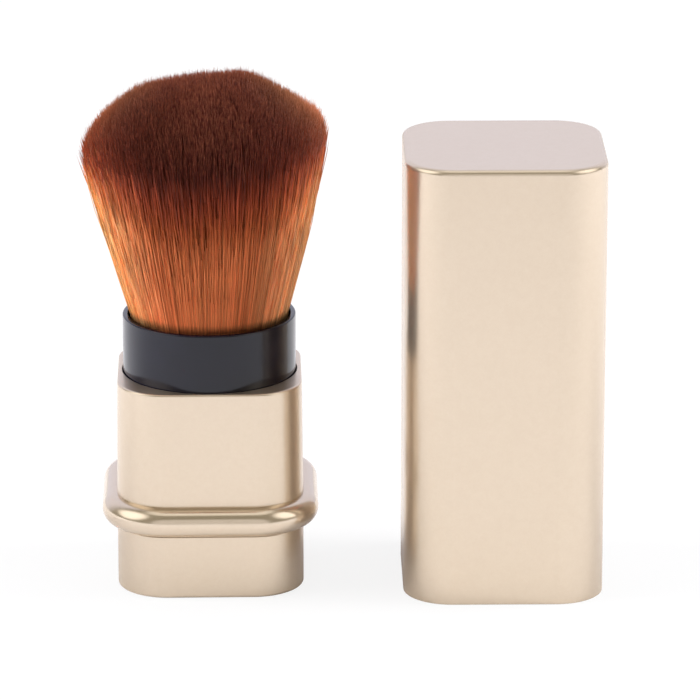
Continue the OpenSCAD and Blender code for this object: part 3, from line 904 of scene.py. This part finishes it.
def root_slice(hair):
    """The top of the resin that the strands stand in."""
    obj, bm = blank("hair_root")
    radius = hair.root_radius + RESIN_EDGE
    bmesh.ops.create_cone(bm, cap_ends=True, segments=RESIN_SEGMENTS, radius1=radius, radius2=radius,
                          depth=root_height() - HAIR_LOW.z)
    bmesh.ops.translate(bm, vec=(0, 0, (root_height() + HAIR_LOW.z) / 2), verts=bm.verts)
    finish_piece(obj, bm, finish_of("set_resin", set_resin, RESIN_TONE), "handle", "root_resin", "bristles")


class BRUSH_OT_cap(bpy.types.Operator):
    """Models the tall gold cap that stands beside the brush"""

    bl_idname = "brush.cap"
    bl_label = "Cap"

    def execute(self, context):
        scene = context.scene
        cap, case, looks = scene.brush_cap, scene.brush_case, scene.brush_finishes
        hub = cap.half - cap.corner
        side, inner, top = cap.corner, cap.corner - cap.wall, CAP_HIGH.z
        obj, bm = blank("cap")
        section = [(side, top), (side, 0), (inner, 0), (inner, top - cap.top)]
        sweep_square(bm, chain(bm, section_at(section, hub)), hub, case.steps)
        fill_loop(bm, top)
        fill_loop(bm, top - cap.top)
        round_edges(bm, ring_edges(bm, top, side, hub), cap.top_round, CAP_SEGMENTS)
        round_edges(bm, ring_edges(bm, 0, side, hub), cap.rim_round, RIM_SEGMENTS)
        middle = (CAP_LOW + CAP_HIGH) / 2
        bmesh.ops.rotate(bm, cent=(0, 0, 0), matrix=Matrix.Rotation(cap.turn, 3, "Z"), verts=bm.verts)
        bmesh.ops.translate(bm, vec=(middle.x, middle.y, 0), verts=bm.verts)
        gold = finish_of("satin_gold_cap", satin_gold, looks)
        finish_piece(obj, bm, gold, "cap", "gold_cap", "cap_shell")
        return {"FINISHED"}


class BRUSH_OT_inside(bpy.types.Operator):
    """Gives the pieces inside the case and the cap their finishes"""

    bl_idname = "brush.inside"
    bl_label = "Inside pieces"

    def execute(self, context):
        moulding = finish_of("eroded_black", matt_moulding, MOULDING_TONE)
        for node in ("foot_core", "sleeve_core", "stop_ring", "cap_liner"):
            repaint(node, moulding)
        repaint("base_weight", finish_of("turned_steel", turned_metal, STEEL_TONE, *STEEL_LINES))
        repaint("ferrule_cup", finish_of("drawn_aluminium", turned_metal, ALUMINIUM_TONE, *ALUMINIUM_LINES))
        repaint("root_resin", finish_of("set_resin", set_resin, RESIN_TONE))
        return {"FINISHED"}


class BRUSH_OT_stage(bpy.types.Operator):
    """Sets the pale floor, the soft light and the camera"""

    bl_idname = "brush.stage"
    bl_label = "Stage"

    def execute(self, context):
        look = context.scene.brush_stage
        scene = context.scene
        scene.view_settings.view_transform = "Standard"
        camera = bpy.data.objects.new("camera", bpy.data.cameras.new("camera"))
        camera.location = look.camera_place
        camera.rotation_euler = Euler((QUARTER - look.camera_pitch, 0, -look.camera_turn))
        camera.data.lens = look.camera_lens
        camera.data.sensor_width = 36.0
        camera.data.clip_start = 0.01
        scene.collection.objects.link(camera)
        scene.camera = camera
        make_floor(look)
        make_lamps(look)
        make_world(look)
        return {"FINISHED"}


def plain_share(tree, look):
    """Share of plain white in the floor: most for the camera, little in mirrors, none in diffuse light."""
    path = add_node(tree, "ShaderNodeLightPath").outputs
    thrown = math_of(tree, "MAXIMUM", path["Is Glossy Ray"], path["Is Transmission Ray"])
    mirrored = math_of(tree, "MULTIPLY", thrown, look.floor_shine)
    seen = math_of(tree, "MULTIPLY", path["Is Camera Ray"], look.floor_white)
    return math_of(tree, "MAXIMUM", seen, mirrored)


def make_floor(look):
    """The pale floor, which reads as white and keeps a soft shadow."""
    obj, bm = blank("floor")
    bmesh.ops.create_grid(bm, x_segments=1, y_segments=1, size=look.floor_size / 2)
    bm.to_mesh(obj.data)
    bm.free()
    material, tree, shader = new_material("pale_floor")
    shader.inputs["Base Color"].default_value = FLOOR_TONE
    shader.inputs["Roughness"].default_value = 0.9
    shader.inputs["Specular IOR Level"].default_value = 0.0
    white = add_node(tree, "ShaderNodeEmission", {"Color": (1, 1, 1, 1), "Strength": 1.0})
    blend_surface(tree, plain_share(tree, look), shader, white)
    obj.data.materials.append(material)


def add_lamp(name, place, aim, size, power, tint):
    """A large soft lamp that points at a place and that metal doesn't mirror."""
    data = bpy.data.lights.new(name, "AREA")
    data.shape = "RECTANGLE"
    data.size, data.size_y = size
    data.energy = power
    data.color = tint
    lamp = bpy.data.objects.new(name, data)
    lamp.location = place
    lamp.rotation_euler = (Vector(aim) - Vector(place)).to_track_quat("-Z", "Y").to_euler()
    lamp.visible_glossy = False
    bpy.context.scene.collection.objects.link(lamp)


def make_lamps(look):
    """A large lamp above, and one at each side of the hair."""
    side, right = look.side_power, RIGHT_SHARE * look.side_power
    add_lamp("key", (0.12, 0.03, 0.8), (0.02, 0, 0), (0.45, 0.45), look.key_power, (1.0, 0.99, 0.97))
    add_lamp("left_side", (-0.85, -0.02, 0.34), (0, 0, 0.06), (0.5, 0.35), side, (1, 1, 1))
    add_lamp("right_side", (0.85, 0.06, 0.50), (0, 0, 0.06), (0.5, 0.35), right, (1, 1, 1))


def make_world(look):
    """A dim room with a light back wall, a fainter front wall and soft boxes at both sides and above."""
    world = bpy.data.worlds.new("studio")
    bpy.context.scene.world = world
    world.use_nodes = True
    tree = world.node_tree
    way = add_node(tree, "ShaderNodeTexCoord").outputs["Generated"]
    light = tuple(look.dim)
    for direction, full, gone, tint in SOFT_BOXES.values():
        toward = Vector(direction).normalized()
        facing = add_node(tree, "ShaderNodeVectorMath", {0: way, 1: toward}, operation="DOT_PRODUCT")
        inside = add_node(tree, "ShaderNodeMapRange", {
            "Value": facing.outputs["Value"], "From Min": math.cos(math.radians(gone)),
            "From Max": math.cos(math.radians(full)), "To Min": 0.0, "To Max": look.box_strength},
            interpolation_type="SMOOTHSTEP").outputs["Result"]
        light = add_node(tree, "ShaderNodeVectorMath", {0: light, 1: scaled(tree, tint, inside)},
                         operation="ADD").outputs[0]
    tree.links.new(light, tree.nodes["Background"].inputs["Color"])


class BRUSH_PT_pieces(bpy.types.Panel):
    """Lists the pieces of the brush"""

    bl_idname = "BRUSH_PT_pieces"
    bl_label = "Makeup brush"
    bl_space_type = "VIEW_3D"
    bl_region_type = "UI"
    bl_category = "Makeup Brush"

    def draw(self, context):
        for operator in OPERATORS:
            self.layout.operator(operator.bl_idname)
        for group in GROUPS:
            held = getattr(context.scene, group)
            box = self.layout.box()
            box.label(text=group.replace("_", " "))
            for key in held.__annotations__:
                box.prop(held, key)


GROUPS = {
    "brush_case": CaseSizes,
    "brush_cap": CapSizes,
    "brush_hair": HairSizes,
    "brush_finishes": Finishes,
    "brush_stage": StageLook,
}
OPERATORS = (BRUSH_OT_foot, BRUSH_OT_sleeve, BRUSH_OT_bead, BRUSH_OT_tube, BRUSH_OT_hair, BRUSH_OT_cap,
             BRUSH_OT_inside, BRUSH_OT_stage)


def register():
    """Registers the classes and hangs the settings on the scene."""
    for cls in (*GROUPS.values(), *OPERATORS, BRUSH_PT_pieces):
        bpy.utils.register_class(cls)
    for name, cls in GROUPS.items():
        setattr(bpy.types.Scene, name, bpy.props.PointerProperty(type=cls))


def unregister():
    """Takes the settings and the classes away again."""
    for name in GROUPS:
        delattr(bpy.types.Scene, name)
    for cls in reversed((*GROUPS.values(), *OPERATORS, BRUSH_PT_pieces)):
        bpy.utils.unregister_class(cls)


def main():
    """Makes every piece in order."""
    register()
    bpy.ops.brush.stage()
    bpy.ops.brush.foot()
    bpy.ops.brush.sleeve()
    bpy.ops.brush.bead()
    bpy.ops.brush.tube()
    bpy.ops.brush.hair()
    bpy.ops.brush.cap()
    bpy.ops.brush.inside()


if __name__ == "__main__":
    main()
